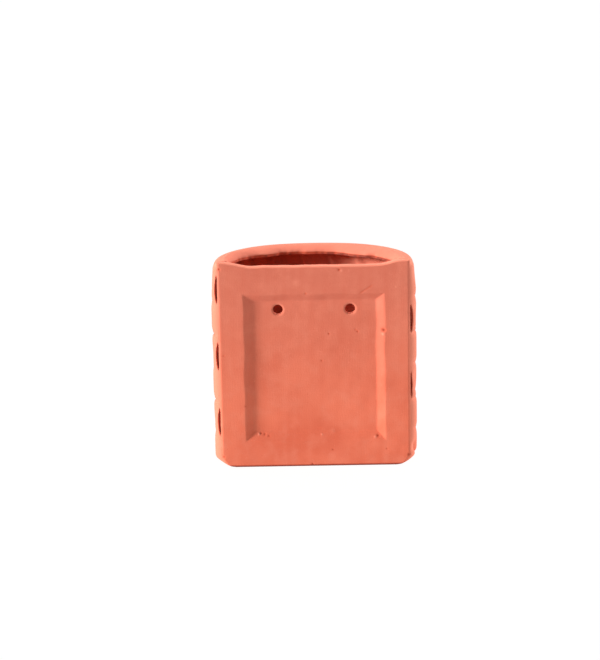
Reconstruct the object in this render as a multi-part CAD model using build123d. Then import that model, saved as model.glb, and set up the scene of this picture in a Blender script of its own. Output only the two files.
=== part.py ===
"""Half-round terracotta wall planter: a flat back slab with a sunken hanging panel, a bowed front
wall with three plaited bands, an inward rim flange with a cut mouth, and a base slab.

Frame: +Z up, the bowed front faces -Y, the flat back faces +Y. The solids are first drawn with the
back face at y = 0, and are then moved together so that the origin is under the middle of the whole
body, on the surface that it stands on. All lengths are in millimetres.
"""

from build123d import *
import os
from math import radians, sin, sqrt

# ---- body -------------------------------------------------------------------------------------
BODY_HALF_WIDTH = 76.2      # bowed wall at its widest
BODY_DEPTH = 86.0           # back face to the middle of the front
WIDEST_DEPTH = 14.0         # how far in front of the back face the body is widest
BODY_RADII = (120.0, 62.0, 118.0)   # of the bow's front, corners and sides
BODY_HEIGHT = 156.0
WALL = 8.0                  # thickness at the crests of the plaits
BASE_THICKNESS = 7.0
FOOT_ROUNDING = 10.0
BACK_ROUNDING = 3.0         # upright edges where the wall meets the back face
DRAIN_RADIUS = 4.0
DRAIN_DEPTH = 46.0          # back face to the middle of the drain hole

# ---- back slab and its hanging panel ----------------------------------------------------------
END_LAP = 5.2               # widest part of the bow to the slab's edge
SLAB_THICKNESS = 8.0
SLAB_FOOT_ROUNDING = 10.0
SCOOP_DEPTH = 4.0           # how far the middle of the slab's top lies under the rim
SCOOP_SHOULDER = 5.0        # slab's edge to where the scoop starts
SCOOP_EASE = 22.0           # stretch over which the scoop reaches its full depth
SLAB_TOP_ROUNDING = 2.0
PANEL_SIDE_BORDER = 18.8    # back face left beside the panel
PANEL_FOOT_BORDER = 19.5
PANEL_HEIGHT = 112.0
PANEL_DEPTH = 4.0
PANEL_BEVEL_ACROSS = 6.2    # sloping border on the panel's two sides, seen from behind
PANEL_BEVEL_UP = 5.0        # sloping border at the panel's top and bottom
HOLE_SPACING = 53.5
HOLE_HEIGHT = 119.5
HOLE_RADIUS = 3.75

# ---- rim --------------------------------------------------------------------------------------
RIM_ROLL = 5.0              # height of the rolled edge above the plaited bands
RIM_ROUNDING = 3.4
RIM_DROP = 4.0              # how far the rim slopes down towards the mouth
RIM_EDGE = 2.5              # thickness left at the mouth
RIM_LEVEL = 4.0             # outer stretch that stays level
RIM_SIDE = 17.5             # width of the rim at the body's widest
RIM_FRONT = 19.5            # width of the rim at the middle of the front
MOUTH_OFFSET = 2.2          # the mouth is cut a little towards +X
MOUTH_RADII = (140.0, 42.0, 134.0)  # of the mouth's front, corners and sides

# ---- plaited bands ----------------------------------------------------------------------------
BANDS = 3
GROOVE = 1.4                # depth of the groove between two bands
SCALLOPS_PER_ROW = 10.5     # along the whole bow; the half puts its two ends out of step
SCALLOP_RADIUS = 8.0
SCALLOP_DEPTH = 1.7
SCALLOP_LEAN = 52.0         # degrees between a scallop and the horizontal
SCALLOP_CLEARANCE = 0.3     # height left between the scallops of two rows
END_CLEARANCE = 3.0         # no scallop is centred nearer than this to the bow's ends

SLAB_HALF_WIDTH = BODY_HALF_WIDTH - END_LAP
BAND_HEIGHT = (BODY_HEIGHT - RIM_ROLL) / BANDS
RIM_THICKNESS = RIM_DROP + RIM_EDGE
RIM_UNDERSIDE = BODY_HEIGHT - RIM_THICKNESS


def arc_about(centre, start, end):
    """The short arc from start to end about a centre, all three level."""
    radius = (start - centre).length
    middle = centre + ((start + end) * 0.5 - centre).normalized() * radius
    return Edge.make_three_point_arc(start, middle, end)


def bow_face(half_width, reach, radii, back, height, offset=0.0):
    """The region inside a bow of five tangent arcs, closed by a straight line.

    half_width and reach give the bow's size, radii those of its front, corner and side arcs. back
    says where the straight line lies. reach and back are measured forward from the back face.
    """
    front_radius, corner_radius, side_radius = radii
    front = Vector(0, reach - WIDEST_DEPTH - front_radius)
    side = Vector(half_width - side_radius, 0)
    apart = side - front
    front_run, side_run = front_radius - corner_radius, side_radius - corner_radius
    along = (front_run**2 - side_run**2 + apart.length**2) / (2 * apart.length)
    across = Vector(apart.Y, -apart.X) * (sqrt(front_run**2 - along**2) / apart.length)
    corner = front + apart * (along / apart.length) + across
    behind = WIDEST_DEPTH - back
    stops = [Vector(side.X + sqrt(side_radius**2 - behind**2), -behind),
             side + (corner - side).normalized() * side_radius,
             front + (corner - front).normalized() * front_radius]

    def placed(point, hand):
        """A point of the bow, on the +X or the -X hand, in the body's place."""
        return Vector(offset + hand * point.X, -WIDEST_DEPTH - point.Y, height)

    edges = [arc_about(placed(front, 1), placed(stops[2], 1), placed(stops[2], -1))]
    for hand in (1, -1):
        edges.append(arc_about(placed(side, hand), placed(stops[0], hand), placed(stops[1], hand)))
        edges.append(arc_about(placed(corner, hand), placed(stops[1], hand), placed(stops[2], hand)))
    edges.append(Edge.make_line(placed(stops[0], 1), placed(stops[0], -1)))
    return make_face(edges)


def body_face(inset, back, height):
    """The body's plan at a height, drawn in by an inset all round the bow."""
    radii = [radius - inset for radius in BODY_RADII]
    return bow_face(BODY_HALF_WIDTH - inset, BODY_DEPTH - inset, radii, back, height)


def mouth_face(height):
    """The plan of the mouth, from the front of the back slab to the cut edge of the rim."""
    return bow_face(BODY_HALF_WIDTH - RIM_SIDE, BODY_DEPTH - RIM_FRONT, MOUTH_RADII, SLAB_THICKNESS,
                    height, MOUTH_OFFSET)


def bowed_edges(solid, height):
    """The curved edges of an upright solid at one height."""
    level = solid.edges().filter_by_position(Axis.Z, height - 0.01, height + 0.01)
    return level.filter_by(GeomType.CIRCLE)


def layer(low, high, foot_rounding=0.0, top_rounding=0.0):
    """One layer of the body: its edges are rounded, or cut back to make half of a groove."""
    solid = extrude(body_face(0, 0, low), high - low)
    for height, rounding in ((low, foot_rounding), (high, top_rounding)):
        edges = bowed_edges(solid, height)
        solid = fillet(edges, rounding) if rounding else chamfer(edges, GROOVE)
    return solid


def body_block():
    """The whole body as one block of stacked layers, before it is parted and hollowed."""
    block = layer(0, BAND_HEIGHT, foot_rounding=FOOT_ROUNDING)
    for index in range(1, BANDS):
        block += layer(index * BAND_HEIGHT, (index + 1) * BAND_HEIGHT)
    block += layer(BANDS * BAND_HEIGHT, BODY_HEIGHT, top_rounding=RIM_ROUNDING)
    return block - [back_corner(hand) for hand in (1, -1)]


def back_corner(hand):
    """What is taken off one upright back edge of the body, so that it rounds into the bow."""
    side_radius = BODY_RADII[2]
    inner, behind = side_radius - BACK_ROUNDING, WIDEST_DEPTH - BACK_ROUNDING
    middle = BODY_HALF_WIDTH - side_radius + sqrt(inner**2 - behind**2)
    touch = WIDEST_DEPTH - behind * side_radius / inner
    size = 3 * BACK_ROUNDING
    tool = Pos(0, -touch) * Box(size, size, 3 * BODY_HEIGHT, align=(Align.MIN, Align.MIN, Align.CENTER))
    tool -= Pos(0, -BACK_ROUNDING) * Cylinder(BACK_ROUNDING, 4 * BODY_HEIGHT)
    tool = Pos(middle) * tool
    return tool if hand > 0 else mirror(tool, Plane.YZ)


def bow_place(line, share):
    """A point of the body's outline, at a share of the way round from +X, and its way outward."""
    along = share if (line @ 0).X > 0 else 1 - share
    tangent = line % along
    outward = Vector(tangent.Y, -tangent.X)
    if outward.dot(line @ along + Vector(0, WIDEST_DEPTH)) < 0:
        outward = outward * -1
    return line @ along, outward


def plait_scallops():
    """The leaning scallops that part the strands: two rows in a band, half a step out of line."""
    line = Wire(body_face(0, 0, 0).edges().filter_by(GeomType.CIRCLE))
    step = line.length / SCALLOPS_PER_ROW
    row_height = BAND_HEIGHT / 2
    length = (row_height - SCALLOP_CLEARANCE) / sin(radians(SCALLOP_LEAN))
    scallops = []
    for row in range(2 * BANDS):
        upper = row % 2
        lean = SCALLOP_LEAN if upper else -SCALLOP_LEAN
        for number in range(int(SCALLOPS_PER_ROW) + 1):
            run = (number + (0 if upper else 0.5)) * step
            if not END_CLEARANCE < run < line.length - END_CLEARANCE:
                continue
            point, outward = bow_place(line, run / line.length)
            centre = Vector(point.X, point.Y, (row + 0.5) * row_height)
            centre += outward * (SCALLOP_RADIUS - SCALLOP_DEPTH)
            face = Plane(origin=centre, x_dir=Vector(-outward.Y, outward.X), z_dir=outward)
            scallops.append(face * Rot(0, 0, lean) * Cylinder(SCALLOP_RADIUS, length,
                                                              rotation=(0, 90, 0)))
    return scallops


def slice_of(solid, low, high):
    """The part of a solid between two heights."""
    size = 4 * BODY_HALF_WIDTH
    return solid & Pos(0, 0, low) * Box(size, size, high - low,
                                        align=(Align.CENTER, Align.CENTER, Align.MIN))


def slab_blank():
    """The back slab as a plain board with rounded lower corners."""
    board = Box(2 * SLAB_HALF_WIDTH, SLAB_THICKNESS, BODY_HEIGHT,
                align=(Align.CENTER, Align.MAX, Align.MIN))
    corners = board.edges().filter_by(Axis.Y).group_by(Axis.Z)[0]
    return fillet(corners, SLAB_FOOT_ROUNDING)


def scoop():
    """The shallow hollow along the slab's top edge, drawn as an upright outline and pushed back."""
    floor = BODY_HEIGHT - SCOOP_DEPTH
    far = SLAB_HALF_WIDTH - SCOOP_SHOULDER
    near = far - SCOOP_EASE
    edges = []
    for side in (1, -1):
        along = Vector(side * SCOOP_EASE / 2, 0, 0)
        low, high = Vector(side * near, 0, floor), Vector(side * far, 0, BODY_HEIGHT)
        edges.append(Edge.make_bezier(low, low + along, high - along, high))
    left, right = edges
    above = [Vector(side * far, 0, BODY_HEIGHT + SCOOP_DEPTH) for side in (1, -1)]
    edges += [Edge.make_line(left @ 0, right @ 0), Edge.make_line(left @ 1, above[0]),
              Edge.make_line(*above), Edge.make_line(above[1], right @ 1)]
    outline = Pos(0, SLAB_THICKNESS, 0) * make_face(edges)
    return extrude(outline, 3 * SLAB_THICKNESS, dir=(0, -1, 0))


def hanging_panel():
    """The sunken panel as a block: a floor with a border that slopes up to the back face."""
    width = 2 * (SLAB_HALF_WIDTH - PANEL_SIDE_BORDER)
    wide = Rectangle(width, PANEL_HEIGHT)
    deep = Rectangle(width - 2 * PANEL_BEVEL_ACROSS, PANEL_HEIGHT - 2 * PANEL_BEVEL_UP)
    middle = PANEL_FOOT_BORDER + PANEL_HEIGHT / 2
    face, floor = [Plane(origin=(0, -depth, middle), z_dir=(0, 1, 0), x_dir=(-1, 0, 0))
                   for depth in (0, PANEL_DEPTH)]
    return Solid.make_loft([(face * wide).wire(), (floor * deep).wire()], ruled=True)


def hanging_holes():
    """The two round holes through the panel's floor."""
    drill = Cylinder(HOLE_RADIUS, 4 * SLAB_THICKNESS, rotation=(90, 0, 0))
    return [Pos(side * HOLE_SPACING / 2, 0, HOLE_HEIGHT) * drill for side in (-1, 1)]


def back_slab(block):
    """The flat back: scooped top, sunken hanging panel and its two holes."""
    slab = (slab_blank() & block) - scoop()
    top = slab.edges().filter_by(Axis.Y, reverse=True).filter_by_position(
        Axis.Y, -0.01, 0.01).filter_by_position(Axis.Z, BODY_HEIGHT - SCOOP_DEPTH - 0.01, BODY_HEIGHT)
    slab = fillet(top, SLAB_TOP_ROUNDING)
    return slab - hanging_panel() - hanging_holes()


def cavity():
    """The space inside, from the base up to the underside of the rim."""
    return extrude(body_face(WALL, SLAB_THICKNESS, BASE_THICKNESS), RIM_UNDERSIDE - BASE_THICKNESS)


def front_wall(shell):
    """The bowed wall with its plaited bands; its two ends lap the edges of the slab."""
    return slice_of(shell, BASE_THICKNESS, RIM_UNDERSIDE) - cavity() - plait_scallops()


def base_slab(shell):
    """The base with its drain hole."""
    drain = Pos(0, -DRAIN_DEPTH, 0) * Cylinder(DRAIN_RADIUS, 4 * BASE_THICKNESS)
    return slice_of(shell, 0, BASE_THICKNESS) - drain


def rim_dish():
    """What is taken off the rim so that it slopes down to the mouth."""
    upper = body_face(RIM_ROUNDING + RIM_LEVEL, SLAB_THICKNESS, BODY_HEIGHT)
    lower = mouth_face(BODY_HEIGHT - RIM_DROP)
    return Solid.make_loft([upper.wire(), lower.wire()], ruled=True)


def rim_flange(shell):
    """The inward ledge round the mouth."""
    mouth = extrude(mouth_face(RIM_UNDERSIDE - RIM_EDGE), 3 * RIM_THICKNESS)
    return slice_of(shell, RIM_UNDERSIDE, BODY_HEIGHT) - rim_dish() - mouth


def all_nodes():
    """Every named piece, standing with the origin under the middle of the body."""
    block = body_block()
    shell = block - slab_blank()
    nodes = {
        "back_slab": back_slab(block),
        "front_wall": front_wall(shell),
        "rim_flange": rim_flange(shell),
        "base_slab": base_slab(shell),
    }
    boxes = [piece.bounding_box() for piece in nodes.values()]
    low, high = [Vector(*[pick(getattr(corner, axis) for corner in corners) for axis in "XYZ"])
                 for pick, corners in ((min, [b.min for b in boxes]), (max, [b.max for b in boxes]))]
    shift = Pos(-(low.X + high.X) / 2, -(low.Y + high.Y) / 2, -low.Z)
    return {name: shift * piece for name, piece in nodes.items()}


if __name__ == "__main__":
    os.makedirs("parts", exist_ok=True)
    for name, piece in all_nodes().items():
        export_step(piece, f"parts/{name}.step")
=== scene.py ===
"""Looks for a half-round terracotta wall planter, seen from behind on a pale floor.

The body's plan is a bow of tangent arcs. Every piece is swept along it or drawn on the flat back, in
millimetres, and is then placed in the frame. The plaits are raised by a Geometry Nodes tree that
reads attributes of the skin, such as `run`, the distance along the bow, and `rise`, the height.
"""

import logging
import math
from dataclasses import dataclass
from enum import Enum

import bmesh
import bpy
import numpy as np
from mathutils import Matrix, Vector


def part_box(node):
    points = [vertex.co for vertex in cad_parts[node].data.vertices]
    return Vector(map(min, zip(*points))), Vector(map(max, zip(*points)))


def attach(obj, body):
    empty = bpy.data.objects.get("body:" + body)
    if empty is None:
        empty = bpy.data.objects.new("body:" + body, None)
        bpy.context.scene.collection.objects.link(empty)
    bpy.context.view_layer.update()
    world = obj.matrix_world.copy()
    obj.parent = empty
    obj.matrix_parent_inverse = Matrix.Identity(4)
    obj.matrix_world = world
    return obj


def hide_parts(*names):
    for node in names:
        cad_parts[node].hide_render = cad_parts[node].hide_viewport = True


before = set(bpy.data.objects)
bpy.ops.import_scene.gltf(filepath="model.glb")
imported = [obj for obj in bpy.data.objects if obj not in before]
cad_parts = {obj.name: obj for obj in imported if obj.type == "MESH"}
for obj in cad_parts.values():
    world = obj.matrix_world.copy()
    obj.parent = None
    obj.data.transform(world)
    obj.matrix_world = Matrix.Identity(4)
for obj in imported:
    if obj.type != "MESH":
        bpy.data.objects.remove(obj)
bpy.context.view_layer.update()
LOG = logging.getLogger("planter")
MM = 0.001
SAME_PLACE = 2e-6  # metres within which two points count as one

# A Range maps a value smoothly: low, high, then the share at low and the share at high.
Pair = tuple[float, float]
Triple = tuple[float, float, float]
Range = tuple[float, float, float, float]
Socket = bpy.types.NodeSocket


class Layer(Enum):
    """Attributes that the meshes carry for the relief and for the clay's colour."""

    RUN = "run"
    RISE = "rise"
    REACH = "reach"
    FILL = "fill"
    WAY = "way"
    # Real marks and streaks together with painted highlights and painted shade, turned into colour by the
    # clay.
    WEAR = "wear"
    CREST = "crest"


@dataclass(frozen=True)
class BodySizes:
    """Sizes of the whole pot in millimetres; depth is measured forward from the back face."""

    half_width: float = 73.0
    depth: float = 82.8
    widest: float = 14.0
    front_radius: float = 120.0
    corner_radius: float = 62.0
    side_radius: float = 118.0
    height: float = 156.0
    wall: float = 6.0
    base: float = 7.0
    rim_underside: float = 149.5
    foot: float = 10.0
    lap: float = 2.0
    back_roll: float = 6.5
    edge_across: float = 1.8
    edge_depth: float = 1.0
    slab: float = 8.0
    band: float = 50.4
    bands: int = 3
    rim_crest: float = 0.9
    rim_calm: Pair = (6.0, 20.0)

    @property
    def slab_half(self) -> float:
        """Half the width of the back slab."""
        return self.half_width - self.lap


BODY = BodySizes()
BACK_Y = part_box("back_slab")[1].y / MM
DRILL_LENGTH = 40.0


def placed(points: np.ndarray) -> np.ndarray:
    """Turn (across, depth, height) in millimetres into frame coordinates in metres.

    Args:
        points: array whose last axis holds across, depth and height.

    Returns:
        The same points in metres with the back face where the frame has it.
    """
    out = np.array(points, float)
    out[..., 1] = BACK_Y - out[..., 1]
    return out * MM


def smooth(value: np.ndarray, low: float, high: float) -> np.ndarray:
    """Ease from 0 at low to 1 at high."""
    t = np.clip((np.asarray(value, float) - low) / (high - low), 0.0, 1.0)
    return t * t * (3 - 2 * t)


def from_ends(run: np.ndarray) -> np.ndarray:
    """Distance to the nearer end of the bow."""
    return np.minimum(run, run[-1] - run)


def pushes(out: np.ndarray) -> np.ndarray:
    """Turn outward (across, depth) directions into directions of the frame."""
    return np.stack([out[:, 0], -out[:, 1], 0 * out[:, 0]], -1)


def bump(value: np.ndarray, centre: float, width: float) -> np.ndarray:
    """A soft bump of height 1 about a centre."""
    return np.exp(-(((value - centre) / width) ** 2))


def linked(name: str, data: bpy.types.ID) -> bpy.types.Object:
    """Make an object of this data and put it in the scene."""
    made = bpy.data.objects.new(name, data)
    bpy.context.scene.collection.objects.link(made)
    return made


class Ripple:
    """Slow random waves for hand-made edges, the same on every run."""

    def __init__(self, seed: int, length: float, waves: int = 9) -> None:
        """Choose the waves.

        Args:
            seed: number that fixes the waves.
            length: shortest wave in millimetres.
            waves: how many waves are added.
        """
        rng = np.random.default_rng(seed)
        self.turns = rng.uniform(0.15, 1.0, (waves, 3)) * 2 * np.pi / length
        self.turns *= rng.choice([-1, 1], (waves, 3))
        self.phase = rng.uniform(0, 2 * np.pi, waves)

    def at(self, *axes: np.ndarray) -> np.ndarray:
        """Height of the ripple, between about -1 and 1, at one, two or three coordinates."""
        total = 0.0
        for turn, phase in zip(self.turns, self.phase):
            total = total + np.sin(sum(t * a for t, a in zip(turn, axes)) + phase)
        return total / math.sqrt(len(self.phase) * 2)


class Bow:
    """The plan's bow: five tangent arcs from the +X end round the front to the -X end."""

    def __init__(self, sizes: BodySizes) -> None:
        """Work out the arcs from the sizes."""
        big, small, side = sizes.front_radius, sizes.corner_radius, sizes.side_radius
        self.front = np.array([0.0, sizes.depth - sizes.widest - big])
        self.side = np.array([sizes.half_width - side, 0.0])
        apart = self.side - self.front
        gap = np.hypot(*apart)
        along = ((big - small) ** 2 - (side - small) ** 2 + gap**2) / (2 * gap)
        across = math.sqrt((big - small) ** 2 - along**2)
        self.corner = self.front + apart / gap * along + np.array([apart[1], -apart[0]]) / gap * across
        self.radii = (side, small, big)
        begin = -math.asin((sizes.widest - sizes.back_roll) / side)
        first = math.atan2(*(self.corner - self.side)[::-1])
        second = math.atan2(*(self.corner - self.front)[::-1])
        self.turns = (begin, first, second)
        self.lengths = (side * (first - begin), small * (second - first), big * (math.pi / 2 - second))
        self.half = sum(self.lengths)
        self.widest = sizes.widest

    @property
    def length(self) -> float:
        """Length of the whole bow."""
        return 2 * self.half

    def places(self, run: np.ndarray) -> tuple[np.ndarray, np.ndarray]:
        """Points of the bow and outward directions, as (across, depth) pairs.

        Args:
            run: distances along the bow.

        Returns:
            Two arrays of shape (len(run), 2).
        """
        hand = np.where(run <= self.half, 1.0, -1.0)
        near = np.where(run <= self.half, run, self.length - run)
        ends = np.cumsum(self.lengths)
        part = np.clip(np.searchsorted(ends, near), 0, 2)
        started = np.concatenate([[0.0], ends])[part]
        radius = np.array(self.radii)[part]
        turn = np.array(self.turns)[part] + (near - started) / radius
        centre = np.stack([self.side, self.corner, self.front])[part]
        out = np.stack([np.cos(turn), np.sin(turn)], -1)
        point = centre + out * radius[:, None]
        point[:, 0] *= hand
        out[:, 0] *= hand
        return point + np.array([0.0, self.widest]), out


class Draft:
    """A mesh in the making: numpy points, faces and attribute layers, all in millimetres."""

    def __init__(self, name: str) -> None:
        """Start an empty mesh that will become the piece called name."""
        self.name = name
        self.points: list[np.ndarray] = []
        self.faces: list[tuple[int, ...]] = []
        self.hidden: list[tuple[int, ...]] = []
        self.layers: dict[Layer, list[np.ndarray]] = {kind: [] for kind in Layer if kind is not Layer.CREST}
        self.count = 0

    def add(self, points: np.ndarray, **layers: np.ndarray) -> np.ndarray:
        """Add points of any leading shape and return their numbers in the same shape.

        Args:
            points: (..., 3) across, depth, height.
            layers: attribute values by lower-case layer name; a missing one is zero.
        """
        flat = np.asarray(points, float).reshape(-1, 3)
        shape = np.asarray(points).shape[:-1]
        self.points.append(flat)
        for layer in self.layers:
            wide = (3,) if layer is Layer.WAY else ()
            value = layers.get(layer.value, 0.0)
            value = np.broadcast_to(np.asarray(value, float), shape + wide).reshape((-1,) + wide)
            self.layers[layer].append(value)
        numbers = np.arange(self.count, self.count + len(flat)).reshape(shape)
        self.count += len(flat)
        return numbers

    def quads(self, rows: np.ndarray, hidden: bool = False, flip: bool = False) -> None:
        """Join neighbouring rows of numbers with quads."""
        a, b, c, d = rows[:-1, :-1], rows[:-1, 1:], rows[1:, 1:], rows[1:, :-1]
        order = (a, d, c, b) if flip else (a, b, c, d)
        made = np.stack([part.ravel() for part in order], -1).tolist()
        (self.hidden if hidden else self.faces).extend(tuple(q) for q in made)

    def zip(self, one: np.ndarray, two: np.ndarray, flip: bool = False) -> None:
        """Join two chains of different counts with hidden triangles."""
        i = j = 0
        while i < len(one) - 1 or j < len(two) - 1:
            ahead = (i + 1) / (len(one) - 1) if i < len(one) - 1 else 9
            beside = (j + 1) / (len(two) - 1) if j < len(two) - 1 else 9
            if ahead <= beside:
                made = (int(one[i]), int(one[i + 1]), int(two[j]))
                i += 1
            else:
                made = (int(one[i]), int(two[j + 1]), int(two[j]))
                j += 1
            self.hidden.append(made[::-1] if flip else made)

    def cap(self, grid: np.ndarray) -> None:
        """Close the two ends of a swept grid of numbers with hidden faces."""
        self.hidden.append(tuple(grid[:-1, 0].tolist()))
        self.hidden.append(tuple(grid[:-1, -1].tolist()[::-1]))

    def build(self) -> bpy.types.Object:
        """Make the Blender object, at the origin, with its attributes."""
        mesh = bpy.data.meshes.new(self.name)
        points = np.concatenate(self.points)
        mesh.from_pydata(placed(points), [], self.faces + self.hidden)
        work = bmesh.new()
        work.from_mesh(mesh)
        bmesh.ops.recalc_face_normals(work, faces=work.faces)
        work.to_mesh(mesh)
        work.free()
        for layer, values in self.layers.items():
            kind = "FLOAT_VECTOR" if layer is Layer.WAY else "FLOAT"
            data = np.concatenate(values)
            store = mesh.attributes.new(layer.value, kind, "POINT").data
            store.foreach_set("vector" if layer is Layer.WAY else "value", data.ravel())
        contact = mesh.attributes.new("contact", "FLOAT", "FACE").data
        contact.foreach_set("value", [0.0] * len(self.faces) + [1.0] * len(self.hidden))
        mesh.update()
        return linked(self.name, mesh)


@dataclass(frozen=True)
class Outline:
    """The columns of the bowed wall: rolled ends at the back face and the bow between them."""

    sizes: BodySizes = BODY
    step: float = 0.95
    roll_steps: int = 12
    roll_bend: float = 0.7
    reach_power: float = 0.9
    taper_run: Pair = (8.0, 40.0)
    taper_from: float = 128.0
    taper_share: float = 0.45
    # Painted highlight along the upright edges beside the slab.
    highlight_edge: float = 7.0
    highlight_paleness: float = 0.9

    def columns(self, step: float | None = None) -> dict[str, np.ndarray]:
        """Places, outward directions, runs and reaches of every column.

        Args:
            step: spacing along the bow in millimetres, or None for the usual one.

        Returns:
            Arrays under "point", "out" (both (n, 2)), "run" and "reach".
        """
        bow = Bow(self.sizes)
        run = np.linspace(0, bow.length, int(bow.length / (step or self.step)) + 1)
        point, out = bow.places(run)
        t = np.linspace(0, 1, self.roll_steps + 1)[:-1, None]
        reach = t[:, 0] ** self.reach_power
        ends = []
        for end, hand in ((0, 1.0), (-1, -1.0)):
            first = np.array([hand * self.sizes.slab_half, self.sizes.edge_depth])
            bend = first + np.array([hand, 1.0]) * (self.sizes.lap * self.roll_bend)
            spot = first * (1 - t) ** 2 + 2 * bend * t * (1 - t) + point[end] * t**2
            ends.append((spot, np.array([hand, 0.0]) * (1 - t) + out[end] * t, np.full(len(t), run[end])))
        (p0, w0, r0), (p1, w1, r1) = ends
        return {"point": np.concatenate([p0, point, p1[::-1]]), "out": np.concatenate([w0, out, w1[::-1]]),
                "run": np.concatenate([r0, run, r1[::-1]]),
                "reach": np.concatenate([reach, np.ones(len(run)), reach[::-1]])}

    def slab_half(self, height: np.ndarray) -> np.ndarray:
        """Half the slab's width at a height: its lower corners are rounded."""
        r = self.sizes.foot
        drop = np.clip(r - np.asarray(height, float), 0, r)
        return self.sizes.slab_half - r + np.sqrt(r * r - drop * drop)

    def taper(self, height: np.ndarray, run: np.ndarray) -> np.ndarray:
        """Share of the relief that is left where the rim's ends narrow toward the slab.

        Args:
            height: heights above the floor, as a column.
            run: distances along the bow, as a row.
        """
        near = 1 - smooth(from_ends(run), *self.taper_run)
        return 1 - self.taper_share * near * smooth(height, self.taper_from, self.sizes.rim_underside)

    def painted_edge_highlight(self, run: np.ndarray) -> np.ndarray:
        """Painted highlight: paler clay along the two upright edges beside the slab, which catch the light.
        """
        return self.highlight_paleness * (1 - smooth(from_ends(run), 0.0, self.highlight_edge))

    def foot_inset(self, height: np.ndarray) -> np.ndarray:
        """How far the rounded foot draws the wall in at a height."""
        r = self.sizes.foot
        drop = np.clip(r - np.asarray(height, float), 0, r)
        return r - np.sqrt(r * r - drop * drop)


class Graph:
    """Small helper that writes chains of nodes in a tree."""

    def __init__(self, tree: bpy.types.NodeTree) -> None:
        """Work in this tree."""
        self.tree = tree
        self.made = 0

    def node(self, kind: str, given: dict | None = None, **settings) -> bpy.types.Node:
        """Add a node.

        Args:
            kind: the node's type.
            given: what each input takes, by the input's name or place; a socket is linked.
            settings: the node's own properties.
        """
        made = self.tree.nodes.new(kind)
        made.location = (180 * (self.made % 12), -220 * (self.made // 12))
        self.made += 1
        for key, value in settings.items():
            setattr(made, key, value)
        for key, value in (given or {}).items():
            if isinstance(value, Socket):
                self.tree.links.new(value, made.inputs[key])
            else:
                made.inputs[key].default_value = value
        return made

    def math(self, operation: str, *values, clamp: bool = False) -> Socket:
        """One step of arithmetic on numbers or sockets."""
        given = dict(enumerate(values))
        return self.node("ShaderNodeMath", given, operation=operation, use_clamp=clamp).outputs[0]

    def add(self, one, two) -> Socket:
        """One plus two."""
        return self.math("ADD", one, two)

    def less(self, one, two) -> Socket:
        """One minus two."""
        return self.math("SUBTRACT", one, two)

    def times(self, one, two) -> Socket:
        """One times two."""
        return self.math("MULTIPLY", one, two)

    def between(self, value, low: float, high: float, to_low: float, to_high: float) -> Socket:
        """Map a value from one range to another, clamped."""
        given = dict(enumerate((value, low, high, to_low, to_high)))
        return self.node("ShaderNodeMapRange", given, interpolation_type="SMOOTHSTEP").outputs[0]


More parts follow.
